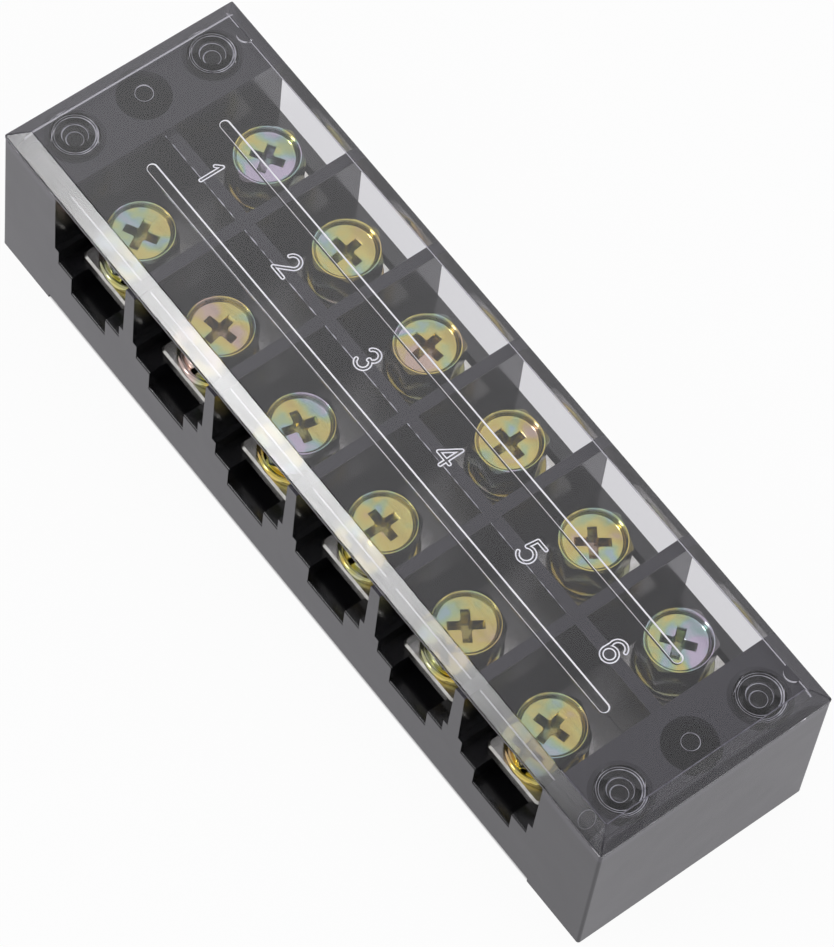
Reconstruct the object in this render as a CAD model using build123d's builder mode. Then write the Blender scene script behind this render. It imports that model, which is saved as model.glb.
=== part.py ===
from build123d import *
import os

# Double-row barrier terminal strip: one dark moulded base with six ways, a nickel plate under
# each way, twelve combination screws with their washers, and a clear push-on cover.
# Millimetres. X runs along the strip, the front row is at -Y, Z is up.
# The origin is the middle of the underside.

os.makedirs("parts", exist_ok=True)

# Base: plan
ways = 6
pitch = 10.4
barrier_thickness = 1.1
spine_thickness = 1.1
end_block_length = 6.85
strip_width = 22.0
foot_length = 6.3
corner_radius = 0.25

# Base: heights
base_height = 15.8
barrier_drop = 0.7
foot_height = 0.5
ledge_height = 7.0
slot_depth = 2.3
shoulder_rise = 0.5
barrier_draft = 0.1
barrier_edge_radius = 0.1
sill_radius = 0.2

# Terminal plate and the channel that it slides into
plate_width = 6.6
plate_thickness = 1.1
plate_corner_radius = 0.6
plate_edge_chamfer = 0.18
plate_side_gap = 0.75
plate_top_gap = 0.1
plate_end_gap = 0.15
plate_setback = 1.65
stop_wall = 1.25
collar_radius = 2.1
collar_length = 1.1
collar_gap = 0.17

# Screws and washers
row_setback = 4.9
shank_radius = 1.45
thread_gap = 0.05
washer_bore_gap = 0.15
clamp_washer_radius = 3.2
clamp_washer_thickness = 0.8
clamp_washer_edge_chamfer = 0.2
spring_washer_radius = 2.8
spring_washer_thickness = 0.95
spring_washer_split = 0.4
spring_washer_split_slant = 20
head_across_flats = 5.5
head_height = 2.5
head_chamfer_inset = 0.03
head_chamfer_angle = 30
dish_rim = 0.13
dish_depth = 0.5
dish_slope = 0.2
driver_span = 2.93
driver_arm = 0.74
driver_depth = 1.4
driver_core_radius = 0.5
shank_length = 4.85
shank_tip_chamfer = 0.3

# Angles of each screw as it was left: hexagon and driver cross, way 1 to way 6
front_hex_turn = [12, 30, 6, 30, 22, 8]
front_cross_turn = [30, 12, -13, 0, 57, 15]
rear_hex_turn = [14, 0, 24, 30, 12, 20]
rear_cross_turn = [34, 6, 9, 1, 55, 38]

# Cover
cover_seat_gap = 0.03
cover_lip = 0.3
cover_rise = 1.47
cover_edge_radius = 0.15
cover_bevel_inset = 1.5
cover_rim = 1.2
cover_wall = 1.2
peg_inset_x = 3.3
peg_radius = 2.0
peg_bore_radius = 1.1
peg_length = 5.0
peg_gap = 0.05
peg_tip_chamfer = 0.35
socket_extra_depth = 0.3
socket_mouth_chamfer = 0.4
rib_width = 0.95
rib_height = 0.3
rib_setback = 7.5
rib_end_gap = 1.95
pin_mark_radius = 0.78
pin_mark_depth = 0.12
pin_pad_inset_y = 1.1

# Mounting holes, one in each end block
mounting_hole_radius = 2.25
mounting_hole_inset = 3.3

# Places worked out from the sizes above
bays_length = ways * pitch - barrier_thickness
strip_length = bays_length + 2 * end_block_length
bay_centres = [(i - (ways - 1) / 2) * pitch for i in range(ways)]
front_face = -strip_width / 2
rear_face = strip_width / 2
barrier_top = base_height - barrier_drop
plate_top = ledge_height + plate_thickness
shoulder_height = plate_top + shoulder_rise
spine_underside = plate_top + plate_top_gap
slot_floor = ledge_height - slot_depth
slot_width = 2 * (collar_radius + collar_gap)
channel_width = plate_width + 2 * plate_side_gap
bay_top_width = pitch - barrier_thickness
bay_floor_width = bay_top_width - 2 * barrier_draft
channel_end = rear_face - stop_wall
plate_front = front_face + plate_setback
plate_rear = channel_end - plate_end_gap
row_offset = strip_width / 2 - row_setback
clamp_washer_top = plate_top + clamp_washer_thickness
head_seat = clamp_washer_top + spring_washer_thickness
head_top = head_seat + head_height
dish_floor = head_top - dish_depth
bore_radius = shank_radius + thread_gap
washer_bore_radius = shank_radius + washer_bore_gap
cover_base = base_height + cover_seat_gap
cover_top = cover_base + cover_rise
cover_underside = cover_top - cover_wall
peg_x = strip_length / 2 - peg_inset_x
peg_y = (mounting_hole_radius + strip_width / 2) / 2
peg_tip = cover_base - peg_length
rib_y = strip_width / 2 - rib_setback
peg_places = [(sx * peg_x, sy * peg_y) for sx in (-1, 1) for sy in (-1, 1)]
hole_x = strip_length / 2 - mounting_hole_inset
hole_places = [(-hole_x, 0), (hole_x, 0)]
pad_y = strip_width / 2 - pin_pad_inset_y
pad_places = [(sx * peg_x, sy * pad_y) for sx in (-1, 1) for sy in (-1, 1)]

# Profiles of the moulded openings, seen from the front, drawn about one bay's centre line


def stepped_profile(steps):
    """Closed symmetric outline from (half width, height) pairs, lowest first."""
    right = [(half, height) for half, height in steps]
    left = [(-half, height) for half, height in reversed(steps)]
    with BuildSketch() as profile:
        with BuildLine():
            Polyline(*right, *left, close=True)
        make_face()
    return profile.sketch


bay_steps = [
    (bay_floor_width / 2, shoulder_height),
    (bay_top_width / 2, barrier_top),
    (bay_top_width / 2, base_height),
]
front_mouth = stepped_profile([
    (slot_width / 2, slot_floor),
    (slot_width / 2, ledge_height),
    (channel_width / 2, ledge_height),
    (channel_width / 2, shoulder_height),
    *bay_steps,
])
tunnel = stepped_profile([
    (slot_width / 2, slot_floor),
    (slot_width / 2, ledge_height),
    (channel_width / 2, ledge_height),
    (channel_width / 2, spine_underside),
])
rear_throat = stepped_profile([
    (channel_width / 2, spine_underside),
    (channel_width / 2, shoulder_height),
])
rear_mouth = stepped_profile(bay_steps)


# Base moulding
with BuildPart() as base:
    with BuildSketch():
        Rectangle(strip_length, strip_width)
    extrude(amount=base_height)
    fillet(base.edges().filter_by(Axis.Z), radius=corner_radius)
    # Barriers and spine stand lower than the end blocks
    with BuildSketch(Plane.XY.offset(barrier_top)):
        Rectangle(bays_length, strip_width)
    extrude(amount=barrier_drop, mode=Mode.SUBTRACT)
    # The underside is raised between the two end feet
    with BuildSketch():
        Rectangle(strip_length - 2 * foot_length, strip_width)
    extrude(amount=foot_height, mode=Mode.SUBTRACT)
    # Front bays with their stepped mouths
    with BuildSketch(Plane.XZ.offset(-front_face)):
        with Locations(*[(x, 0) for x in bay_centres]):
            add(front_mouth)
    extrude(amount=front_face + spine_thickness / 2, mode=Mode.SUBTRACT)
    # Channel and slot for each plate, from the front face under the spine to the stop wall
    with BuildSketch(Plane.XZ.offset(-front_face)):
        with Locations(*[(x, 0) for x in bay_centres]):
            add(tunnel)
    extrude(amount=front_face - channel_end, mode=Mode.SUBTRACT)
    # Rear bays, open above the stop wall
    with BuildSketch(Plane.XZ.offset(-spine_thickness / 2)):
        with Locations(*[(x, 0) for x in bay_centres]):
            add(rear_throat)
    extrude(amount=spine_thickness / 2 - channel_end, mode=Mode.SUBTRACT)
    with BuildSketch(Plane.XZ.offset(-spine_thickness / 2)):
        with Locations(*[(x, 0) for x in bay_centres]):
            add(rear_mouth)
    extrude(amount=spine_thickness / 2 - rear_face, mode=Mode.SUBTRACT)
    # Soft upper edges of the barriers and the spine round each bay
    barrier_tops = base.faces().filter_by(Axis.Z).filter_by_position(
        Axis.Z, barrier_top - 0.01, barrier_top + 0.01)
    bay_rims = barrier_tops.edges().filter_by(
        lambda edge: abs(edge.center().Y) < rear_face - 0.01
        and abs(edge.center().X) < bays_length / 2 - 0.01)
    fillet(bay_rims, radius=barrier_edge_radius)
    # Soft edges along the front of every ledge and slot floor
    sills = base.edges().filter_by(Axis.X).filter_by(
        lambda edge: abs(edge.center().Y - front_face) < 0.01
        and min(abs(edge.center().Z - level) for level in (ledge_height, slot_floor)) < 0.01)
    fillet(sills, radius=sill_radius)
    # Mounting holes and the sockets for the cover's pegs
    with Locations(*[(x, y, base_height) for x, y in hole_places]):
        Hole(radius=mounting_hole_radius)
    with Locations(*[(x, y, base_height) for x, y in peg_places]):
        Hole(radius=peg_radius + peg_gap, depth=peg_length + socket_extra_depth)
    end_tops = base.faces().filter_by(Axis.Z).group_by(Axis.Z)[-1]
    socket_mouths = end_tops.edges().filter_by(GeomType.CIRCLE).filter_by(
        lambda edge: abs(edge.radius - peg_radius - peg_gap) < 0.01)
    chamfer(socket_mouths, length=socket_mouth_chamfer)

base.part.label = "base"
export_step(base.part, "parts/base.step")


# Clear cover: a shallow bevelled tray with four hollow pegs and two long ribs underneath
with BuildPart() as cover:
    with BuildSketch(Plane.XY.offset(cover_base)):
        Rectangle(strip_length, strip_width)
    extrude(amount=cover_lip)
    with BuildSketch(Plane.XY.offset(cover_base + cover_lip)):
        Rectangle(strip_length, strip_width)
    with BuildSketch(Plane.XY.offset(cover_top)):
        Rectangle(strip_length - 2 * cover_bevel_inset, strip_width - 2 * cover_bevel_inset)
    loft()
    outer_edges = cover.edges().filter_by(lambda edge: edge.center().Z > cover_base + 0.01)
    fillet(outer_edges, radius=cover_edge_radius)
    with BuildSketch(Plane.XY.offset(cover_base)):
        Rectangle(strip_length - 2 * cover_rim, strip_width - 2 * cover_rim)
    extrude(amount=cover_underside - cover_base, mode=Mode.SUBTRACT)
    # Ejector pads at the rim and ejector marks over the mounting holes
    with BuildSketch(Plane.XY.offset(cover_base)):
        with Locations(*pad_places):
            Circle(pin_mark_radius)
    extrude(amount=cover_underside - cover_base)
    with BuildSketch(Plane.XY.offset(cover_underside)):
        with Locations(*hole_places):
            Circle(pin_mark_radius)
    extrude(amount=pin_mark_depth, mode=Mode.SUBTRACT)
    # Stiffening ribs with round ends, over the two rows of screws
    with BuildSketch(Plane.XY.offset(cover_underside)):
        with Locations((0, -rib_y), (0, rib_y)):
            SlotOverall(bays_length - 2 * rib_end_gap, rib_width)
    extrude(amount=-rib_height)
    # Hollow pegs, open at their lower ends
    with BuildSketch(Plane.XY.offset(peg_tip)):
        with Locations(*peg_places):
            Circle(peg_radius)
    extrude(amount=cover_underside - peg_tip)
    peg_tips = cover.faces().filter_by(Axis.Z).group_by(Axis.Z)[0]
    chamfer(peg_tips.edges(), length=peg_tip_chamfer)
    with BuildSketch(Plane.XY.offset(peg_tip)):
        with Locations(*peg_places):
            Circle(peg_bore_radius)
    extrude(amount=cover_underside - peg_tip, mode=Mode.SUBTRACT)

cover.part.label = "cover"
export_step(cover.part, "parts/cover.step")


def terminal_plate(x):
    """Stamped plate that bridges the two screws of one way, with drawn threaded collars."""
    length = plate_rear - plate_front
    middle = (plate_rear + plate_front) / 2
    screw_places = [(x, -row_offset), (x, row_offset)]
    with BuildPart() as plate:
        with BuildSketch(Plane.XY.offset(ledge_height)):
            with Locations((x, middle)):
                RectangleRounded(plate_width, length, plate_corner_radius)
        extrude(amount=plate_thickness)
        top_edges = plate.faces().sort_by(Axis.Z)[-1].edges()
        chamfer(top_edges, length=plate_edge_chamfer)
        with BuildSketch(Plane.XY.offset(ledge_height)):
            with Locations(*screw_places):
                Circle(collar_radius)
        extrude(amount=-collar_length)
        with Locations(*[(px, py, plate_top) for px, py in screw_places]):
            Hole(radius=bore_radius)
    return plate.part


def clamp_washer(x, y):
    """Flat washer that presses the wire on the plate; its upper edge is broken."""
    with BuildPart() as washer:
        with BuildSketch(Plane((x, y, plate_top))):
            Circle(clamp_washer_radius)
            Circle(washer_bore_radius, mode=Mode.SUBTRACT)
        extrude(amount=clamp_washer_thickness)
        rim = washer.edges().filter_by(GeomType.CIRCLE).group_by(SortBy.RADIUS)[-1]
        chamfer(rim.sort_by(Axis.Z)[-1], length=clamp_washer_edge_chamfer)
    return washer.part


def spring_washer(x, y, turn):
    """Split ring, cut through on a slant; turn is where the split points, in degrees."""
    centre = Plane((x, y, clamp_washer_top)).rotated((0, 0, turn))
    width = spring_washer_radius - washer_bore_radius
    middle = spring_washer_radius - width / 2
    split_plane = Plane(
        origin=centre.from_local_coords((middle, 0, spring_washer_thickness / 2)),
        x_dir=centre.x_dir, z_dir=centre.z_dir,
    ).rotated((spring_washer_split_slant, 0, 0))
    with BuildPart() as washer:
        with BuildSketch(centre):
            Circle(spring_washer_radius)
            Circle(washer_bore_radius, mode=Mode.SUBTRACT)
        extrude(amount=spring_washer_thickness)
        with BuildSketch(split_plane):
            Rectangle(2 * width, spring_washer_split)
        extrude(amount=2 * spring_washer_thickness, both=True, mode=Mode.SUBTRACT)
    return washer.part


def driver_recess(x, y, turn):
    """Cross recess: four straight wings inside a cone."""
    place = Plane((x, y, dish_floor)).rotated((0, 0, turn))
    with BuildPart() as recess:
        with BuildSketch(place):
            Rectangle(driver_span, driver_arm)
            Rectangle(driver_arm, driver_span)
            Circle(driver_core_radius)
        extrude(amount=-driver_depth)
        with BuildSketch(Plane(origin=(x, y, dish_floor), x_dir=(1, 0, 0), z_dir=(0, -1, 0))):
            with BuildLine():
                Polyline((0, 0), (driver_span / 2, 0), (driver_arm / 2, -driver_depth),
                         (0, -driver_depth), close=True)
            make_face()
        revolve(axis=Axis((x, y, 0), (0, 0, 1)), mode=Mode.INTERSECT)
    return recess.part


def combination_screw(x, y, hex_turn, recess):
    """Hexagon head with a dished top and a cross recess, on a plain cylinder for the thread."""
    flat_radius = head_across_flats / 2
    rim_radius = flat_radius - head_chamfer_inset
    mouth_radius = rim_radius - dish_rim
    # The chamfer cone starts at the rim and ends outside the hexagon's corners
    cone_run = flat_radius
    cone_drop = cone_run * Vector(1, 0).rotate(Axis.Z, head_chamfer_angle).Y
    section = Plane(origin=(x, y, 0), x_dir=(1, 0, 0), z_dir=(0, -1, 0))
    with BuildPart() as screw:
        with BuildSketch(Plane((x, y, head_seat)).rotated((0, 0, hex_turn))):
            RegularPolygon(radius=flat_radius, side_count=6, major_radius=False)
        extrude(amount=head_height)
        with BuildSketch(section):
            with BuildLine():
                Polyline((0, head_seat), (rim_radius + cone_run, head_seat),
                         (rim_radius + cone_run, head_top - cone_drop),
                         (rim_radius, head_top), (0, head_top), close=True)
            make_face()
        revolve(axis=Axis((x, y, 0), (0, 0, 1)), mode=Mode.INTERSECT)
        with BuildSketch(section):
            with BuildLine():
                Polyline((0, dish_floor), (mouth_radius - dish_slope, dish_floor),
                         (mouth_radius, head_top), (0, head_top), close=True)
            make_face()
        revolve(axis=Axis((x, y, 0), (0, 0, 1)), mode=Mode.SUBTRACT)
        add(recess, mode=Mode.SUBTRACT)
        with BuildSketch(Plane((x, y, head_seat))):
            Circle(shank_radius)
        extrude(amount=-shank_length)
        tip = screw.faces().sort_by(Axis.Z)[0]
        chamfer(tip.edges(), length=shank_tip_chamfer)
    return screw.part


def write_part(part, name):
    """Label one finished piece and write it to its own file."""
    part.label = name
    export_step(part, f"parts/{name}.step")


# One plate for each way, and one screw with its two washers for each terminal
for way, x in enumerate(bay_centres, start=1):
    write_part(terminal_plate(x), f"terminal_plate_{way}")

rows = [
    ("front", -row_offset, front_hex_turn, front_cross_turn),
    ("rear", row_offset, rear_hex_turn, rear_cross_turn),
]
for row_name, y, hex_turns, cross_turns in rows:
    for way, x in enumerate(bay_centres, start=1):
        hex_turn = hex_turns[(way - 1) % len(hex_turns)]
        cross_turn = cross_turns[(way - 1) % len(cross_turns)]
        recess = driver_recess(x, y, cross_turn)
        write_part(clamp_washer(x, y), f"clamp_washer_{row_name}_{way}")
        write_part(spring_washer(x, y, cross_turn - 90), f"spring_washer_{row_name}_{way}")
        write_part(combination_screw(x, y, hex_turn, recess), f"screw_{row_name}_{way}")
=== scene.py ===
import math

import bpy
import numpy as np
from mathutils import Matrix, Vector


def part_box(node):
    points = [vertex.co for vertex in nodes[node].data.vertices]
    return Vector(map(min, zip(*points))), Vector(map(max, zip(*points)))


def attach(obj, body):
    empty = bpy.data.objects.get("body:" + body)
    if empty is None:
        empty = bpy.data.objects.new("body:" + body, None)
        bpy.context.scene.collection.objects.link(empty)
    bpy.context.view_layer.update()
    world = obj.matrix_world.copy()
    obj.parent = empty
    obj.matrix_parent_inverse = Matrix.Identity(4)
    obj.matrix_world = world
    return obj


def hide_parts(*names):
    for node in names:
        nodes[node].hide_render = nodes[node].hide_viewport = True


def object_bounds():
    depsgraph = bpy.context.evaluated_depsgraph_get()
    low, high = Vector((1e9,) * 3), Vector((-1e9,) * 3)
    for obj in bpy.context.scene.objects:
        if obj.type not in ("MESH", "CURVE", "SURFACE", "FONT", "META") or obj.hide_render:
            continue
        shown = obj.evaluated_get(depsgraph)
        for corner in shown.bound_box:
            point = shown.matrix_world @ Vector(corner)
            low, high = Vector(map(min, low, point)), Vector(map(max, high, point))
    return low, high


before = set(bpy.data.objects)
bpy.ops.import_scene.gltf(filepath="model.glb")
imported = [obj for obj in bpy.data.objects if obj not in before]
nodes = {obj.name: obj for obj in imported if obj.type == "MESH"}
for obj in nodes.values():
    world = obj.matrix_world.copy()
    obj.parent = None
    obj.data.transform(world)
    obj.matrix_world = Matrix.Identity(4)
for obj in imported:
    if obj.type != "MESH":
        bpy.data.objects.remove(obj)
cad_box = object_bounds()

# Barrier terminal strip: the finish of its moulding, plates, zinc screws and clear cover, with the
# screws and washers as fine surfaces, and the way numbers and moulded edges as thin beads in pale
# glowing materials that paint their highlights. Lengths are metres.

MM = 0.001
WAYS = 6
ROWS = ("front", "rear")

# Screws: recess, dished face with its edge, hexagon, shank and thread

HALF_SPAN = 1.465 * MM
HALF_ARM = 0.37 * MM
CORE_RADIUS = 0.62 * MM
RECESS_DEPTH = 1.35 * MM
DISH_RADIUS = 2.64 * MM
DISH_FLOOR_RADIUS = 2.28 * MM
DISH_DEPTH = 0.5 * MM
LIP_PLACES = (0, 0.02, 0.1, 0.13, 0.19, 0.22, 0.36)
LIP_SLOPES = (5, 38, 38, 71.5, 71.5, 38, 38)
RIM_RADIUS = 2.72 * MM
FLAT_RADIUS = 2.75 * MM
CORNER_RADIUS = 3.12 * MM
CHAMFER_ANGLE = 30
SHANK_RADIUS = 1.45 * MM
THREAD_PITCH = 0.5 * MM
THREAD_DEPTH = 0.27 * MM
TIP_CHAMFER = 0.3 * MM

# Each screw as it was left, in degrees, from way 1 to way 6

HEX_TURNS = {"front": (12, 30, 6, 30, 22, 8), "rear": (14, 0, 24, 30, 12, 20)}
CROSS_TURNS = {"front": (30, 12, -13, 0, 57, 15), "rear": (34, 6, 9, 1, 55, 38)}

# Washers

WASHER_BORE = 1.6 * MM
WASHER_SQUARENESS = 5.0
SPRING_SQUARENESS = 6.0
SPLIT_WIDTH = 0.4 * MM
SPLIT_SLANT = 20

# Plating: how far each head is from the middle colour, how strongly painted shade darkens its dish
# wall, recess and sides, and how much of each washer's own colour is left where painted shade
# darkens it, most in the rear row

HEAD_TONE = {"front": (-0.01, 0.0, -0.04, 0.0, 0.06, 0.02),
             "rear": (-0.08, 0.02, 0.02, 0.0, 0.04, -0.07)}
HEAD_PAINTED_SHADE = 0.8
WASHER_PAINTED_LIT_SHARE = {"front": 0.85, "rear": 0.5}

# Spine of the base, and the painted glint streaks along its near top edge

WAY_PITCH = 10.4 * MM
SPINE_EDGE_Y = 0.52 * MM
SPINE_EDGE_Z = 15.07 * MM
PAINTED_GLINT_HALF_LENGTH = 4.6 * MM
PAINTED_GLINT_BEADS = (0.032, 0.032, 0.03, 0.026, 0.02)

# Cover: numerals, ribs, pegs and pin marks, whose edges get painted highlight beads

COVER_WALL = 1.2 * MM
NUMERAL_PITCH = 10.1 * MM
NUMERAL_SHIFT = 0.15 * MM
NUMERAL_HEIGHT = 2.1 * MM
STROKE_WIDTH = 0.27 * MM
RIM_WIDTH = 0.05 * MM
RIB_Y = 3.5 * MM
RIB_HALF_LENGTH = 28.7 * MM
RIB_HALF_WIDTH = 0.42 * MM
LINE_HALF_WIDTH = 0.02 * MM
PEG_X = 34.2 * MM
PEG_Y = 6.625 * MM
PAD_X = 34.7 * MM
PAD_Y = 10.17 * MM
PAD_RADIUS = 0.62 * MM
PIN_RADIUS = 0.73 * MM

# Bevel of the cover: where its inner edge runs and where it ends below, in millimetres as the
# materials use them, how steeply it falls, and how long the painted highlight lines along its edge
# are

BEVEL_X = 36.0
BEVEL_Y = 9.5
BEVEL_Z = 16.11
BEVEL_FALL = 0.78
END_LINE_HALF_LENGTH = 9.4 * MM
NEAR_LINE_HALF_LENGTH = 2.6 * MM

# Painted highlight rings on the round edges of each peg: radius and depth under the tray, thin and
# thick bead, angle of the thick part and how short it is

PEG_RINGS = (
    (1.82, 0.1, 0.014, 0.062, 40, 4),
    (1.64, 0.15, 0.016, 0.06, 60, 2),
    (1.05, 0.25, 0.022, 0.05, 230, 2),
    (0.7, 0.75, 0.018, 0.055, 215, 2),
)

# Tints of the clear plastic, how white the floor looks to each kind of ray, and how much dimmer the
# floor is painted in reflections towards +x

CLEAR_TINT = (0.9, 0.895, 0.92)
BEVEL_TINT = (0.2, 0.195, 0.215)
END_TINT = (0.62, 0.61, 0.65)
CLEAR_PASS = (0.86, 0.86, 0.87)
FLOOR_WHITENESS = 0.95
FLOOR_THROUGH = 0.5
FLOOR_REFLECTED = 0.86
FLOOR_PAINTED_FALL = 0.2


# Small arithmetic on shader sockets

class Wire:
    """A number socket of a node tree. Arithmetic on it adds Math nodes and gives a new Wire."""

    def __init__(self, material, socket):
        self.material = material
        self.socket = socket

    def _math(self, operation, *values):
        return self.material.node("ShaderNodeMath", {"operation": operation},
                                  dict(enumerate(values)))

    def __add__(self, other):
        return self._math("ADD", self, other)

    def __radd__(self, other):
        return self._math("ADD", other, self)

    def __sub__(self, other):
        return self._math("SUBTRACT", self, other)

    def __rsub__(self, other):
        return self._math("SUBTRACT", other, self)

    def __mul__(self, other):
        return self._math("MULTIPLY", self, other)

    def __rmul__(self, other):
        return self._math("MULTIPLY", other, self)

    def __pow__(self, other):
        return self._math("POWER", self, other)

    def larger(self, other):
        return self._math("MAXIMUM", self, other)

    def ramp(self, low, high):
        """0 below low, 1 above high, and a straight line between."""
        return self.material.node("ShaderNodeMapRange", {"clamp": True},
                                  {"Value": self, "From Min": low, "From Max": high})

    def palette(self, stops):
        """A colour for each number, blended between (place, colour) stops."""
        return self.material.node("ShaderNodeValToRGB", {"stops": stops}, {"Fac": self}, "Color")


class Material:
    """A material and its node tree, with one method that adds any node."""

    def __init__(self, name):
        self.material = bpy.data.materials.new(name)
        self.material.use_nodes = True
        self.tree = self.material.node_tree
        self.tree.nodes.clear()
        self.output = self.tree.nodes.new("ShaderNodeOutputMaterial")

    def node(self, kind, settings=None, inputs=None, result=0):
        """Add a node: its settings first, then the values or links of its sockets."""
        node = self.tree.nodes.new(kind)
        for name, value in (settings or {}).items():
            if name == "stops":
                ramp = node.color_ramp
                while len(ramp.elements) < len(value):
                    ramp.elements.new(0.5)
                for element, (place, colour) in zip(ramp.elements, value):
                    element.position = place
                    element.color = (*colour, 1)
            else:
                setattr(node, name, value)
        for name, value in (inputs or {}).items():
            socket = node.inputs[name]
            if isinstance(value, Wire):
                self.tree.links.new(value.socket, socket)
            else:
                socket.default_value = value
        return Wire(self, node.outputs[result])

    def place(self, scale=1.0, stretch=(1, 1, 1), shift=(0, 0, 0)):
        """Object coordinates, multiplied by scale and stretch."""
        coordinates = self.node("ShaderNodeTexCoord", result="Object")
        sizes = tuple(scale * s for s in stretch)
        return self.node("ShaderNodeMapping", {}, {"Vector": coordinates, "Scale": sizes,
                                                   "Location": shift})

    def noise(self, vector, scale, detail=2.0, roughness=0.5, distortion=0.0):
        return self.node("ShaderNodeTexNoise", {}, {
            "Vector": vector, "Scale": scale, "Detail": detail, "Roughness": roughness,
            "Distortion": distortion})

    def axis(self, vector, letter):
        """One component of a vector socket, as a number."""
        return self.node("ShaderNodeSeparateXYZ", {}, {"Vector": vector}, letter)

    def absolute(self, value):
        return self.node("ShaderNodeMath", {"operation": "ABSOLUTE"}, {0: value})

    def mix_colour(self, factor, first, second):
        return self.node("ShaderNodeMix", {"data_type": "RGBA"},
                         {0: factor, 6: first, 7: second}, 2)

    def bump(self, height, strength, distance):
        return self.node("ShaderNodeBump", {}, {"Height": height, "Strength": strength,
                                               "Distance": distance})

    def principled(self, **inputs):
        """The surface shader; keyword names are its sockets, with _ for a space."""
        sockets = {name.replace("_", " "): value for name, value in inputs.items()}
        return self.node("ShaderNodeBsdfPrincipled", {}, sockets)

    def mix_shader(self, factor, first, second):
        return self.node("ShaderNodeMixShader", {}, {0: factor, 1: first, 2: second})

    def finish(self, shader):
        self.tree.links.new(shader.socket, self.output.inputs["Surface"])
        return self.material


def rgb(red, green, blue):
    """A colour given as 0 to 255 screen values, in the linear values that shaders use."""
    screen = np.array([red, green, blue]) / 255
    linear = np.where(screen <= 0.04045, screen / 12.92, ((screen + 0.055) / 1.055) ** 2.4)
    return tuple(float(c) for c in linear)


def rgba(red, green, blue):
    return (*rgb(red, green, blue), 1.0)


# Finishes

def black_moulding():
    """Glossy black plastic with the faint waviness and the fine grain of a moulded face, painted
    lighter on the tops above 14.9 mm to stand in for the light that falls on them.
    """
    m = Material("black_moulding")
    spots = m.place(1000)
    waves = m.noise(spots, 0.16, 2, 0.5)
    grain = m.noise(spots, 5.0, 3, 0.6)
    smudges = m.noise(spots, 0.35, 4, 0.6)
    height = waves * 0.6 + grain * 0.03
    # Painted light: faces higher than 14.9 mm, the tops of blocks, barriers and spine, get a
    # lighter colour
    painted_lit_tops = m.axis(spots, "Z").ramp(14.9, 15.05)
    return m.finish(m.principled(
        Base_Color=m.mix_colour(painted_lit_tops, rgba(16, 16, 18), rgba(52, 50, 57)),
        Roughness=smudges.ramp(0.3, 0.8) * 0.06 + 0.14,
        IOR=1.5,
        Normal=m.bump(height, 0.15, 0.0004),
    ))


def clear_moulding():
    """Clear plastic that light from the lamps passes straight through.

    The bevels all round are less polished than the flat top and have fine strokes along them.
    The near bevel lets the least light through."""
    m = Material("clear_moulding")
    spots = m.place(1000)
    waves = m.noise(spots, 0.12, 2, 0.5)
    x, y = m.axis(spots, "X"), m.axis(spots, "Y")
    long_bevel = m.absolute(y).ramp(BEVEL_Y - 0.05, BEVEL_Y + 0.05)
    end_bevel = m.absolute(x).ramp(BEVEL_X - 0.05, BEVEL_X + 0.05)
    long_strokes = m.noise(m.place(1000, (0.25, 6, 6)), 1.0, 3, 0.6)
    end_strokes = m.noise(m.place(1000, (6, 0.25, 6)), 1.0, 3, 0.6)
    outside = m.axis(spots, "Z").ramp(BEVEL_Z, BEVEL_Z + 0.02)
    strokes = long_strokes.ramp(0.3, 0.7) * long_bevel + end_strokes.ramp(0.3, 0.7) * end_bevel
    bevel = long_bevel.larger(end_bevel) * outside
    near_bevel = (0.0 - y).ramp(BEVEL_Y - 0.05, BEVEL_Y + 0.05) * (1.0 - end_bevel)
    path = m.node("ShaderNodeLightPath", result="Is Shadow Ray")
    diffuse = m.node("ShaderNodeLightPath", result="Is Diffuse Ray")
    plastic = m.principled(
        Base_Color=m.mix_colour(near_bevel * outside,
                                m.mix_colour(bevel, (*CLEAR_TINT, 1.0), (*END_TINT, 1.0)),
                                (*BEVEL_TINT, 1.0)),
        Roughness=bevel * (strokes * 0.05 + 0.06) + 0.015,
        IOR=1.49,
        Transmission_Weight=1.0,
        Normal=m.bump(waves, 0.1, 0.0002),
    )
    through = m.node("ShaderNodeBsdfTransparent", {}, {"Color": (*CLEAR_PASS, 1.0)})
    return m.finish(m.mix_shader(path.larger(diffuse), plastic, through))


def painted_highlight(name, dull, bright, painted_glow):
    """Painted highlight for the rounded edge of a clear rib, peg or numeral: a pale, mottled colour
    that also glows, standing in for the light the edge gathers.
    """
    m = Material(name)
    spots = m.place(1000)
    # Painted sparkle: the pale colour varies in patches between the dull and the bright highlight
    # colour
    painted_sparkle = m.noise(spots, 1.2, 3, 0.6).ramp(0.3, 0.75)
    colour = m.mix_colour(painted_sparkle, dull, bright)
    return m.finish(m.principled(
        Base_Color=colour,
        Roughness=0.35,
        IOR=1.49,
        Emission_Color=colour,
        Emission_Strength=painted_glow,
    ))


def nickel():
    """Stamped plate with a nickel finish: satin, with faint strokes along the plate."""
    m = Material("nickel")
    strokes = m.noise(m.place(1000, (5, 1.2, 3)), 1.0, 2, 0.5)
    blots = m.noise(m.place(1000), 1.1, 4, 0.6)
    return m.finish(m.principled(
        Base_Color=m.mix_colour(blots.ramp(0.35, 0.7), rgba(186, 184, 176), rgba(214, 213, 209)),
        Metallic=1.0,
        Roughness=strokes * 0.08 + 0.2,
        Normal=m.bump(strokes, 0.08, 0.00004),
    ))


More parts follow.
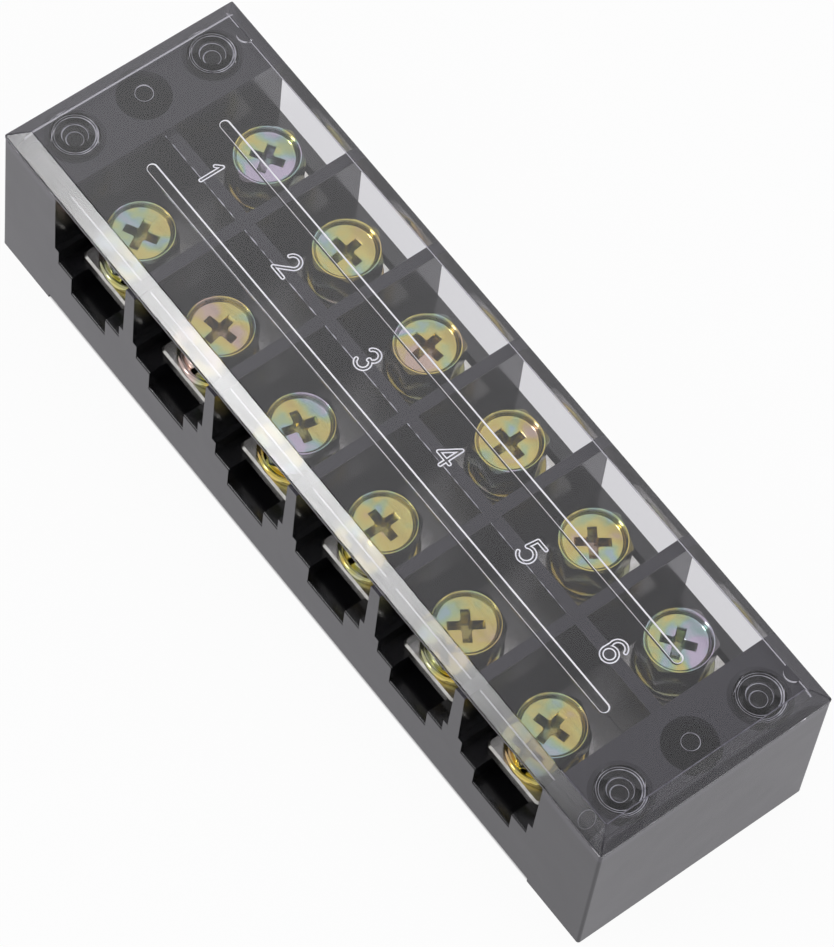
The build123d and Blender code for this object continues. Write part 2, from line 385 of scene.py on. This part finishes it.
def zinc(name, seed, patch, roughness, tone=0.0, middle=None, painted_lit_share=1.0, gold=0.0):
    """Yellow zinc plating: thin films of straw yellow, green, blue and pink in soft patches.

    A tone above 0 is yellower and below 0 bluer. A lit share below 1 darkens the whole piece
    towards brown-black as painted shade. On a head, whose middle is given, painted shade darkens
    the dish wall, the recess and everything below the rim, standing in for the shade and dark
    reflections there, and leaves the dish floor and the thin rim bright."""
    m = Material(name)
    spots = m.place(1000, shift=(seed, 2.7 * seed, 0.4 * seed))
    film = m.noise(spots, patch, 1, 0.4, 0.5)
    fine = m.noise(spots, patch * 3, 2, 0.5)
    grain = m.noise(m.place(1000), 7, 2, 0.5)
    thickness = film * 0.85 + fine * 0.15 + tone
    colours = thickness.palette([
        (0.32, rgb(230, 218, 236)), (0.40, rgb(192, 222, 216)), (0.46, rgb(210, 230, 172)),
        (0.53, rgb(244, 232, 142)), (0.61, rgb(246, 224, 134)), (0.70, rgb(240, 212, 190)),
    ])
    colours = m.mix_colour(gold, colours, rgba(232, 186, 48))
    # Painted shade: a lit share below 1 darkens the whole piece, as the rear washers lie in shade
    colours = m.mix_colour(1.0 - painted_lit_share, colours, rgba(30, 28, 22))
    if middle is not None:
        place = m.place(1000)
        x, y, z = (m.axis(place, letter) for letter in "XYZ")
        across, along = x - middle[0] * 1000, y - middle[1] * 1000
        out = (across * across + along * along) ** 0.5
        face, rim = DISH_FLOOR_RADIUS * 1000, RIM_RADIUS * 1000
        height = z - middle[2] * 1000
        wall = out.ramp(face + 0.07, face + 0.11) * (1.0 - out.ramp(rim - 0.14, rim - 0.11))
        side = out.ramp(rim, rim + 0.04)
        recess = 1.0 - height.ramp(-0.95, -0.6)
        # Painted shade: the dish wall, recess and sides are darkened in colour, standing in for the
        # shade and dark reflections that fall there
        dark = (wall * 0.75).larger(side).larger(recess * 0.6)
        colours = m.mix_colour(dark * HEAD_PAINTED_SHADE, colours, rgba(58, 54, 40))
    return m.finish(m.principled(
        Base_Color=colours,
        Metallic=1.0,
        Roughness=grain.ramp(0.2, 0.8) * 0.06 + roughness,
        Normal=m.bump(grain, 0.12, 0.00003),
    ))


def floor_paper():
    """White paper that the camera sees as plain white. It is dimmer where gloss reflects it and
    where it shows through the cover, and ordinary paper everywhere under the strip. Through the
    cover it is painted whiter behind the strip, and in reflections it is painted dimmer towards +x."""
    m = Material("floor_paper")
    camera = m.node("ShaderNodeLightPath", result="Is Camera Ray")
    glossy = m.node("ShaderNodeLightPath", result="Is Glossy Ray")
    transmission = m.node("ShaderNodeLightPath", result="Is Transmission Ray")
    paper = m.principled(Base_Color=(0.85, 0.85, 0.85, 1), Roughness=0.9)
    spots = m.place(1000)
    colour = m.mix_colour(camera.larger(transmission), (0.97, 0.955, 1, 1), (1, 1, 1, 1))
    white = m.node("ShaderNodeEmission", {}, {"Color": colour, "Strength": 1.0})
    # Painted reflection: the floor as gloss reflects it grows dimmer towards +x
    fall = m.axis(spots, "X").ramp(-35, 35) * FLOOR_PAINTED_FALL
    half_x, half_y = (round(1000 * reach, 3) for reach in cad_box[1][:2])
    beside = m.absolute(m.axis(spots, "X")).ramp(half_x - 0.2, half_x).larger(
        m.absolute(m.axis(spots, "Y")).ramp(half_y - 0.2, half_y))
    reflected = glossy * (1.0 - transmission)
    # Painted light: the floor seen through the cover is whiter behind the strip than in front of it
    # and at its ends
    behind = m.axis(spots, "Y").ramp(half_y - 1, half_y) * 0.85 + 0.15
    seen = (camera * FLOOR_WHITENESS + transmission * (behind * FLOOR_THROUGH)
            + reflected * (FLOOR_REFLECTED - fall))
    return m.finish(m.mix_shader(seen * beside, paper, white))


# Surfaces

def dress(piece, material):
    """Give a CAD piece one material in place of its own."""
    piece.data.materials.clear()
    piece.data.materials.append(material)


def mesh_object(name, points, faces, material, body):
    """A new smooth piece from vertex and face arrays, in its material, riding on a body."""
    mesh = bpy.data.meshes.new(name)
    mesh.from_pydata(points.tolist(), [], faces)
    mesh.update()
    mesh.materials.append(material)
    mesh.polygons.foreach_set("use_smooth", np.full(len(mesh.polygons), True))
    piece = bpy.data.objects.new(name, mesh)
    bpy.context.scene.collection.objects.link(piece)
    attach(piece, body)
    return piece


def grid_faces(rows, columns, first=0, wrap_rows=False, wrap_columns=False):
    """Four-sided faces of a grid of points stored row by row from index first."""
    r = np.arange(rows if wrap_rows else rows - 1)
    c = np.arange(columns if wrap_columns else columns - 1)
    r, c = np.meshgrid(r, c, indexing="ij")
    below = (r + 1) % rows
    beside = (c + 1) % columns
    quads = np.stack([r * columns + c, r * columns + beside,
                      below * columns + beside, below * columns + c], axis=-1)
    return (quads.reshape(-1, 4) + first).tolist()


def fan_faces(pole, ring, reverse=False):
    """Triangles from one pole point to a closed ring of point indices."""
    following = np.roll(ring, -1)
    order = (following, ring) if reverse else (ring, following)
    return np.stack([np.full(len(ring), pole), *order], axis=-1).tolist()


def closed_rings(centre, angles, radius, height):
    """Rings about a vertical axis from a top pole to a bottom pole.

    The point of ring i at angle a is (radius[i, a] cos a, radius[i, a] sin a, height[i, a])
    from the centre. The first and the last row stand on the axis and become single points."""
    inner_r, inner_h = radius[1:-1], height[1:-1]
    ring_points = np.stack([centre[0] + inner_r * np.cos(angles),
                            centre[1] + inner_r * np.sin(angles), inner_h], axis=-1)
    rows, columns = inner_r.shape
    points = np.concatenate([
        [[centre[0], centre[1], height[0, 0]]], ring_points.reshape(-1, 3),
        [[centre[0], centre[1], height[-1, 0]]]])
    last = 1 + rows * columns
    faces = fan_faces(0, 1 + np.arange(columns))
    faces += [face[::-1] for face in grid_faces(rows, columns, 1, wrap_columns=True)]
    faces += fan_faces(last, last - columns + np.arange(columns), reverse=True)
    return points, faces


def soft_square(count, power):
    """Points round a superellipse: |x|^power + |y|^power = 1, from 0 to a full turn."""
    turn = np.linspace(0, 2 * np.pi, count, endpoint=False)
    x, y = np.cos(turn), np.sin(turn)
    size = (np.abs(x) ** power + np.abs(y) ** power) ** (-1 / power)
    return x * size, y * size


def ring_piece(name, node, bore, material, body):
    """A washer: a soft square section carried once round the axis of its CAD node."""
    low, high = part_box(node)
    centre = (low + high) / 2
    outer = (high.x - low.x) / 2
    width = outer - bore
    across, up = soft_square(28, WASHER_SQUARENESS)
    turn = np.linspace(0, 2 * np.pi, 128, endpoint=False)[:, None]
    radius = bore + width / 2 + across[None, :] * width / 2
    points = np.stack([centre.x + radius * np.cos(turn), centre.y + radius * np.sin(turn),
                       centre.z + up[None, :] * (high.z - low.z) / 2 + 0 * turn], axis=-1)
    faces = grid_faces(128, 28, wrap_rows=True, wrap_columns=True)
    piece = mesh_object(name, points.reshape(-1, 3), faces, material, body)
    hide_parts(node)
    return piece


def split_ring_piece(name, node, bore, split_angle, material, body):
    """A spring washer: a soft square section carried round the axis, short of a slanted split."""
    low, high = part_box(node)
    centre = (low + high) / 2
    outer = (high.x - low.x) / 2
    width = outer - bore
    thickness = high.z - low.z
    across, up = soft_square(28, SPRING_SQUARENESS)
    middle = bore + width / 2
    half_split = SPLIT_WIDTH / 2 / middle
    lean = math.tan(math.radians(SPLIT_SLANT)) * thickness / 2 / middle
    along = np.linspace(0, 1, 120)[:, None]
    start = split_angle + half_split + lean * up[None, :]
    end = split_angle + 2 * np.pi - half_split + lean * up[None, :]
    turn = start + (end - start) * along
    radius = middle + across[None, :] * width / 2
    points = np.stack([centre.x + radius * np.cos(turn), centre.y + radius * np.sin(turn),
                       centre.z + up[None, :] * thickness / 2 + 0 * turn], axis=-1)
    points = points.reshape(-1, 3)
    faces = grid_faces(120, 28, wrap_columns=True)
    ends = np.array([points[:28].mean(axis=0), points[-28:].mean(axis=0)])
    faces += fan_faces(len(points), np.arange(28))
    faces += fan_faces(len(points) + 1, len(points) - 28 + np.arange(28), reverse=True)
    points = np.concatenate([points, ends])
    piece = mesh_object(name, points, faces, material, body)
    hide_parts(node)
    return piece


def cross_outline(angles, half_span, half_arm, core):
    """How far the recess reaches at each angle: the nearer of an arm's end and its side, but
    at least the core radius, which cuts the inner corners."""
    from_arm = np.abs((angles + np.pi / 4) % (np.pi / 2) - np.pi / 4)
    end = half_span / np.cos(from_arm)
    side = half_arm / np.maximum(np.sin(from_arm), 1e-6)
    return np.maximum(np.minimum(end, side), core)


def hexagon_outline(angles, flat_radius, corner_radius):
    """How far a hexagon reaches at each angle, its corners cut by a circle."""
    from_flat = (angles + np.pi / 6) % (np.pi / 3) - np.pi / 6
    return np.minimum(flat_radius / np.cos(from_flat), corner_radius)


def lip_profile():
    """Distance out and height of the dished edge: a cone, a steep wall and a second cone.

    The height is the running sum of the slope, which is level on the dish floor."""
    width = DISH_RADIUS - DISH_FLOOR_RADIUS
    out = np.linspace(0, width, 19)
    slope = np.interp(out / MM, LIP_PLACES, np.tan(np.radians(LIP_SLOPES)))
    steps = (slope[1:] + slope[:-1]) / 2
    rise = np.cumsum(steps) / steps.sum() * (DISH_DEPTH - 0.02 * MM)
    return np.column_stack([out[1:], rise])


def screw_piece(name, node, seat, hex_turn, cross_turn, material, body):
    """A combination screw as one closed surface of rings about its axis.

    From the top: recess floor, four recess walls that taper, dished face, rim, chamfer cone,
    hexagon, seat, a shank whose radius rises and falls with height and angle as a thread, tip."""
    low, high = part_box(node)
    cx, cy = (low.x + high.x) / 2, (low.y + high.y) / 2
    top, tip = high.z, low.z
    cross = np.radians(cross_turn)
    hexagon = np.radians(hex_turn)
    arm_corner = math.atan2(HALF_ARM, HALF_SPAN)
    core_corner = math.asin(HALF_ARM / CORE_RADIUS)
    quarter = np.arange(4) * np.pi / 2
    marks = [cross + quarter + sign * corner
             for corner in (arm_corner, core_corner) for sign in (-1, 1)]
    marks.append(hexagon + np.arange(6) * np.pi / 3 + np.pi / 6)
    marks.append(np.linspace(0, 2 * np.pi, 144, endpoint=False))
    angles = np.unique(np.round(np.concatenate(marks) % (2 * np.pi), 5))
    ones = np.ones_like(angles)
    hexes = hexagon_outline(angles - hexagon, FLAT_RADIUS, CORNER_RADIUS)
    floor = top - DISH_DEPTH
    rings = [(0 * ones, (floor - RECESS_DEPTH) * ones)]
    for depth in (1.0, 0.96, 0.6, 0.3, 0.03):
        span = HALF_SPAN + (HALF_ARM - HALF_SPAN) * depth * 0.82
        arm = HALF_ARM * (1 - 0.16 * depth)
        core = CORE_RADIUS * (1 - 0.2 * depth)
        reach = cross_outline(angles - cross, span, arm, core)
        shrink = 0.82 if depth == 1.0 else 1.0
        rings.append((reach * shrink, (floor - RECESS_DEPTH * depth) * ones))
    mouth = cross_outline(angles - cross, HALF_SPAN, HALF_ARM, CORE_RADIUS) + 0.03 * MM
    for share in (0.0, 0.25, 0.5, 0.75, 0.94, 1.0):
        reach = mouth + (DISH_FLOOR_RADIUS - mouth) * share
        rings.append((reach, (floor - 0.012 * MM * (1 - share) ** 2) * ones))
    for out, rise in lip_profile():
        rings.append(((DISH_FLOOR_RADIUS + out) * ones, (floor + rise) * ones))
    rings.append(((DISH_RADIUS + 0.015 * MM) * ones, top * ones))
    rings.append(((RIM_RADIUS - 0.03 * MM) * ones, top * ones))
    fall = math.tan(math.radians(CHAMFER_ANGLE))
    for share in (0.0, 0.35, 0.7, 0.94):
        reach = RIM_RADIUS + (hexes - RIM_RADIUS) * share
        drop = np.maximum(reach - RIM_RADIUS, 0) * fall
        rings.append((reach, top - 0.02 * MM - drop))
    edge = top - 0.02 * MM - np.maximum(hexes - RIM_RADIUS, 0) * fall
    rings.append((hexes, edge - 0.03 * MM))
    rings.append((hexes, (seat + 0.1 * MM) * ones))
    rings.append((hexes - 0.03 * MM, (seat + 0.02 * MM) * ones))
    rings.append((hexes - 0.1 * MM, seat * ones))
    rings.append(((SHANK_RADIUS + 0.02 * MM) * ones, seat * ones))
    steps = int(round((seat - tip - TIP_CHAMFER) / THREAD_PITCH * 5))
    for z in np.linspace(seat - 0.02 * MM, tip + TIP_CHAMFER, steps):
        phase = (z / THREAD_PITCH - angles / (2 * np.pi)) % 1
        crest = np.clip(1.25 - 2.5 * np.abs(2 * phase - 1), 0, 1)
        rings.append((SHANK_RADIUS - THREAD_DEPTH * (1 - crest), z * ones))
    rings.append(((SHANK_RADIUS - TIP_CHAMFER) * ones, tip * ones))
    rings.append((0 * ones, tip * ones))
    radius = np.array([r for r, z in rings])
    height = np.array([z for r, z in rings])
    points, faces = closed_rings((cx, cy), angles, radius, height)
    piece = mesh_object(name, points, faces, material, body)
    piece.data.set_sharp_from_angle(angle=math.radians(38))
    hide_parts(node)
    return piece


def bead_loop(name, path, thickness, material, body):
    """A closed bead: a circle of the given radius carried along a closed path in a flat plane.

    The circle stands across the path: its two directions are the path's sideways normal and
    the vertical."""
    ahead = np.roll(path, -1, axis=0) - np.roll(path, 1, axis=0)
    ahead /= np.linalg.norm(ahead, axis=1)[:, None]
    side = np.stack([ahead[:, 1], -ahead[:, 0], 0 * ahead[:, 0]], axis=-1)
    turn = np.linspace(0, 2 * np.pi, 8, endpoint=False)
    radius = np.broadcast_to(thickness, len(path))[:, None, None]
    points = (path[:, None, :] + radius * (np.cos(turn)[None, :, None] * side[:, None, :]
              + np.sin(turn)[None, :, None] * np.array([0, 0, 1.0])))
    faces = grid_faces(len(path), 8, wrap_rows=True, wrap_columns=True)
    return mesh_object(name, points.reshape(-1, 3), faces, material, body)


def stadium(half_length, half_width, y, z):
    """A closed outline of two straight sides and two half circles."""
    straight = half_length - half_width
    sides = np.linspace(-straight, straight, 60)
    turn = np.linspace(-np.pi / 2, np.pi / 2, 24)[1:-1]
    right = np.stack([straight + half_width * np.cos(turn), y + half_width * np.sin(turn)], -1)
    left = np.stack([-straight - half_width * np.cos(turn), y - half_width * np.sin(turn)], -1)
    near = np.stack([sides, y - half_width + 0 * sides], -1)
    far = np.stack([sides[::-1], y + half_width + 0 * sides], -1)
    flat = np.concatenate([near, right, far, left])
    return np.column_stack([flat, np.full(len(flat), z)])


def circle_path(centre, radius, z):
    """A level circle of 96 points."""
    turn = np.linspace(0, 2 * np.pi, 96, endpoint=False)
    return np.column_stack([centre[0] + radius * np.cos(turn), centre[1] + radius * np.sin(turn),
                            np.full(96, z)])


def arc_thickness(thin, thick, towards, sharpness):
    """Bead radius round a circle of 96 points: thick towards one angle and thin elsewhere."""
    turn = np.linspace(0, 2 * np.pi, 96, endpoint=False) - math.radians(towards)
    return thin + (thick - thin) * (0.5 + 0.5 * np.cos(turn)) ** sharpness


# Way numbers, as strokes on a field 1 wide and 1.6 high: straight runs and arcs

def run(*corners):
    """Straight runs from corner to corner, each as its two ends."""
    return list(zip(corners, corners[1:]))


def arc(centre, radius, start, end):
    """Part of a circle from start to end degrees, as short straight runs."""
    steps = max(2, int(abs(end - start) / 7.5))
    turn = np.radians(np.linspace(start, end, steps + 1))
    spots = [(centre[0] + radius * math.cos(t), centre[1] + radius * math.sin(t)) for t in turn]
    return run(*spots)


def numeral_strokes(number):
    """The strokes of one numeral, 1.0 wide and 1.6 high, from its lower left corner."""
    return {
        1: run((0.28, 1.28), (0.58, 1.6), (0.58, 0.0)),
        2: arc((0.5, 1.12), 0.46, 170, -38) + run((0.86, 0.84), (0.04, 0.0), (0.98, 0.0)),
        3: arc((0.5, 1.18), 0.4, 160, -80) + arc((0.5, 0.42), 0.44, 80, -160),
        4: run((0.74, 0.0), (0.74, 1.6), (0.0, 0.46), (1.02, 0.46)),
        5: run((0.92, 1.6), (0.2, 1.6), (0.1, 0.86)) + arc((0.48, 0.5), 0.5, 135, -150),
        6: arc((0.5, 0.46), 0.46, 0, 360) + arc((0.52, 1.1), 0.48, 205, 20)
           + run((0.04, 0.46), (0.06, 0.9)),
    }[number]


def stroke_distance(x, y, strokes):
    """Distance from every grid point to the nearest straight run."""
    nearest = np.full(x.shape, 1e9)
    for a, b in strokes:
        dx, dy = b[0] - a[0], b[1] - a[1]
        along = np.clip(((x - a[0]) * dx + (y - a[1]) * dy) / (dx * dx + dy * dy), 0, 1)
        nearest = np.minimum(nearest, np.hypot(x - a[0] - along * dx, y - a[1] - along * dy))
    return nearest


def numeral_piece(number, centre, material):
    """The raised rim of a moulded numeral under the cover, as a height over a flat grid, in a pale
    glowing material that paints its highlight.

    The height is a half circle over the line where the distance to the nearest stroke is half the
    stroke's width; the lower sheet drops by 0.8 of it below the grid while the upper sheet stays
    flat on the grid, and the rest of the grid is left out."""
    size = NUMERAL_HEIGHT / 1.6
    margin = STROKE_WIDTH
    strokes = [((a[0] * size, a[1] * size), (b[0] * size, b[1] * size))
               for a, b in numeral_strokes(number)]
    step = 0.018 * MM
    u = np.arange(-margin, size + margin, step)
    v = np.arange(-margin, NUMERAL_HEIGHT + margin, step)
    x, y = np.meshgrid(u, v, indexing="ij")
    from_rim = stroke_distance(x, y, strokes) - STROKE_WIDTH / 2
    lift = np.sqrt(np.maximum(1 - (from_rim / RIM_WIDTH) ** 2, 0)) * RIM_WIDTH
    kept = np.abs(from_rim) < RIM_WIDTH + step
    x = x + centre[0] - size / 2
    y = y + centre[1] - NUMERAL_HEIGHT / 2
    base = centre[2]
    rows, columns = x.shape
    lower = np.stack([x, y, base - lift * 0.8], axis=-1).reshape(-1, 3)
    upper = np.stack([x, y, base + 0 * lift], axis=-1).reshape(-1, 3)
    corners = np.array(grid_faces(rows, columns))
    whole = kept.reshape(-1)[corners].all(axis=1)
    corners = corners[whole]
    used, spots = np.unique(corners, return_inverse=True)
    spots = spots.reshape(-1, 4)
    points = np.concatenate([lower[used], upper[used]])
    faces = spots.tolist() + (spots[:, ::-1] + len(used)).tolist()
    return mesh_object(f"numeral_{number}", points, faces, material, "cover")


# The object

moulding = black_moulding()
clear = clear_moulding()
# Painted highlights: pale glowing materials for the beads on edges that catch the light
painted_bright_edge = painted_highlight("painted_highlight", rgba(228, 228, 234), rgba(255, 255, 255), 0.35)
painted_faint_edge = painted_highlight("painted_faint_edge", rgba(122, 121, 132), rgba(236, 235, 242), 0.1)
plate_finish = nickel()

dress(nodes["base"], moulding)
dress(nodes["cover"], clear)
for way in range(1, WAYS + 1):
    dress(nodes[f"terminal_plate_{way}"], plate_finish)

for row_number, row in enumerate(ROWS):
    for way in range(1, WAYS + 1):
        end = f"{row}_{way}"
        seed = 10.0 * way + 70.0 * row_number
        washers, screw = f"washers_{end}", f"screw_{end}"
        head_low, head_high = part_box(screw)
        middle = (*((head_low + head_high) / 2)[:2], head_high.z)
        head = zinc(f"zinc_head_{end}", seed, 0.32, 0.13, HEAD_TONE[row][way - 1], middle)
        collar = zinc(f"zinc_washer_{end}", seed + 5, 0.3, 0.1, painted_lit_share=WASHER_PAINTED_LIT_SHARE[row],
                      gold=0.35)
        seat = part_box(f"spring_washer_{end}")[1].z
        screw_piece(f"head_{end}", screw, seat, HEX_TURNS[row][way - 1],
                    CROSS_TURNS[row][way - 1], head, screw)
        ring_piece(f"flat_washer_{end}", f"clamp_washer_{end}", WASHER_BORE, collar,
                   washers)
        split_ring_piece(f"split_washer_{end}", f"spring_washer_{end}", WASHER_BORE,
                         math.radians(CROSS_TURNS[row][way - 1] - 90), collar,
                         washers)

# Numerals and rib edges under the cover, as beads in the bright painted highlight material

cover_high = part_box("cover")[1]
underside = cover_high.z - COVER_WALL
for way in range(1, WAYS + 1):
    x = (way - (WAYS + 1) / 2) * NUMERAL_PITCH - NUMERAL_SHIFT
    numeral_piece(way, (x, 0.0, underside - 0.01 * MM), painted_bright_edge)

for label, y in (("front", -RIB_Y), ("rear", RIB_Y)):
    outline = stadium(RIB_HALF_LENGTH, RIB_HALF_WIDTH, y, underside - 0.05 * MM)
    # Painted highlight: the bead is thicker on each rib's far side, where its edge looks brighter
    far_side = np.clip((outline[:, 1] - y) / RIB_HALF_WIDTH, -1, 1)
    bead_loop(f"painted_rib_highlight_{label}", outline, (0.045 + 0.027 * far_side) * MM, painted_bright_edge,
              "cover")

# Painted highlights: dull grey beads paint the pale line where the bevel's inner edge catches the
# light over the right end block, and a short one near the right end of the near bevel

painted_dull_edge = painted_highlight("painted_dull_edge", rgba(96, 94, 104), rgba(138, 136, 146), 0.0)
end_line = stadium(END_LINE_HALF_LENGTH, LINE_HALF_WIDTH, 0, 0)[:, [1, 0, 2]]
bead_loop("painted_bevel_line_end", end_line + np.array([BEVEL_X * MM, 0, cover_high.z - 0.03 * MM]),
          0.03 * MM, painted_dull_edge, "cover")
near_line = stadium(NEAR_LINE_HALF_LENGTH, LINE_HALF_WIDTH, -BEVEL_Y * MM,
                    cover_high.z - 0.03 * MM)
bead_loop("painted_bevel_line_near", near_line + np.array([(BEVEL_X - 2.7) * MM, 0, 0]), 0.025 * MM,
          painted_dull_edge, "cover")

# Painted glints: pale beads in broken streaks along the spine's rounded near edge, where it catches
# the light, thinner to the right

for way, thick in enumerate(PAINTED_GLINT_BEADS, start=1):
    middle = (way - (WAYS + 1) / 2) * WAY_PITCH
    streak = stadium(PAINTED_GLINT_HALF_LENGTH, LINE_HALF_WIDTH, -SPINE_EDGE_Y, SPINE_EDGE_Z)
    dashes = (np.sin(2.3 * streak[:, 0] / MM + 1.7 * way) + np.sin(5.1 * streak[:, 0] / MM)) / 2
    streak[:, 0] += middle
    bead_loop(f"painted_spine_glint_{way}", streak, (0.004 + thick * (dashes + 0.55).clip(0, 1)) * MM,
              painted_faint_edge, "base")

# Painted highlights: pale rings where the pegs, the corner pads and the pin marks show through the
# cover

for side in (-1, 1):
    for edge in (-1, 1):
        peg = (side * PEG_X, edge * PEG_Y)
        for number, (radius, depth, thin, thick, towards, sharpness) in enumerate(PEG_RINGS):
            bead_loop(f"peg_ring_{side}_{edge}_{number}",
                      circle_path(peg, radius * MM, underside - depth * MM),
                      arc_thickness(thin, thick, towards, sharpness) * MM, painted_faint_edge,
                      "cover")
    pad = circle_path((side * PAD_X, -PAD_Y), PAD_RADIUS, 0)
    pad[:, 2] = cover_high.z - 0.1 * MM - (-pad[:, 1] - BEVEL_Y * MM).clip(0) * BEVEL_FALL
    bead_loop(f"painted_pad_ring_{side}", pad, arc_thickness(0.012, 0.021 + 0.006 * side, 120, 1) * MM,
              painted_faint_edge, "cover")
    bead_loop(f"painted_pin_ring_{side}", circle_path((side * PEG_X, 0), PIN_RADIUS, underside + 0.04 * MM),
              arc_thickness(0.018, 0.032, 40, 1) * MM, painted_faint_edge, "cover")


# Floor, lamps and camera

def stage_floor():
    """A wide sheet of paper under the strip."""
    reach = 3.0
    points = np.array([[-reach, -reach, 0], [reach, -reach, 0], [reach, reach, 0],
                       [-reach, reach, 0]])
    mesh = bpy.data.meshes.new("floor")
    mesh.from_pydata(points.tolist(), [], [[0, 1, 2, 3]])
    mesh.materials.append(floor_paper())
    floor = bpy.data.objects.new("floor", mesh)
    bpy.context.scene.collection.objects.link(floor)


def softbox(name, place, aim, width, height, strength, spread, through=False):
    """A rectangular lamp behind a honeycomb: it looks brightest from straight ahead and dark
    from half the spread angle, in degrees, outwards. Strength is how bright it looks ahead, and
    through says whether it is itself seen through the cover."""
    lamp = bpy.data.lights.new(name, "AREA")
    lamp.shape = "RECTANGLE"
    lamp.size = width
    lamp.size_y = height
    half = math.radians(spread) / 2
    gathered = math.tan(half) / (math.tan(half) - half)
    lamp.spread = 2 * half
    lamp.energy = strength / gathered * width * height * math.pi
    holder = bpy.data.objects.new(name, lamp)
    bpy.context.scene.collection.objects.link(holder)
    holder.location = place
    holder.rotation_mode = "QUATERNION"
    holder.rotation_quaternion = (Vector(place) - Vector(aim)).to_track_quat("Z", "Y")
    holder.visible_transmission = through


def studio_world():
    """An even pale surround, slightly violet."""
    world = bpy.data.worlds.new("studio")
    bpy.context.scene.world = world
    world.use_nodes = True
    tree = world.node_tree
    background = tree.nodes["Background"]
    background.inputs["Color"].default_value = (0.97, 0.96, 1, 1)
    background.inputs["Strength"].default_value = 0.66


def photograph_camera():
    """The camera of the photograph, from its solved turn, distance and lens."""
    azimuth, elevation, roll = (math.radians(a) for a in (44.390, 61.470, 9.320))
    distance, right_shift, up_shift = 0.39360, 0.00187, 0.00283
    back = Vector((math.sin(azimuth) * math.cos(elevation),
                   -math.cos(azimuth) * math.cos(elevation), math.sin(elevation)))
    level_right = Vector((0, 0, 1)).cross(back).normalized()
    level_up = back.cross(level_right)
    right = math.cos(roll) * level_right + math.sin(roll) * level_up
    up = -math.sin(roll) * level_right + math.cos(roll) * level_up
    camera = bpy.data.objects.new("camera", bpy.data.cameras.new("camera"))
    bpy.context.scene.collection.objects.link(camera)
    turn = Matrix((right, up, back)).transposed().to_4x4()
    place = back * distance + right * right_shift + up * up_shift
    camera.matrix_world = Matrix.Translation(place) @ turn
    camera.data.sensor_width = 36
    camera.data.lens = 190.07
    camera.data.clip_start = 0.01
    camera.data.clip_end = 20
    bpy.context.scene.camera = camera


stage_floor()
studio_world()
softbox("key", (-0.381, -0.79, 0.558), (-0.008, -0.01, 0.0167), 0.36, 0.24, 24.5, 12.5, True)
softbox("side", (0.914, 0.341, 0.35), (0.036, 0, 0.017), 0.4, 0.3, 2.4, 40, True)
softbox("overhead", (-0.467, 0.31, 0.87), (-0.037, 0, 0.017), 0.6, 0.4, 1.2, 26)
photograph_camera()
bpy.context.scene.view_settings.view_transform = "Standard"
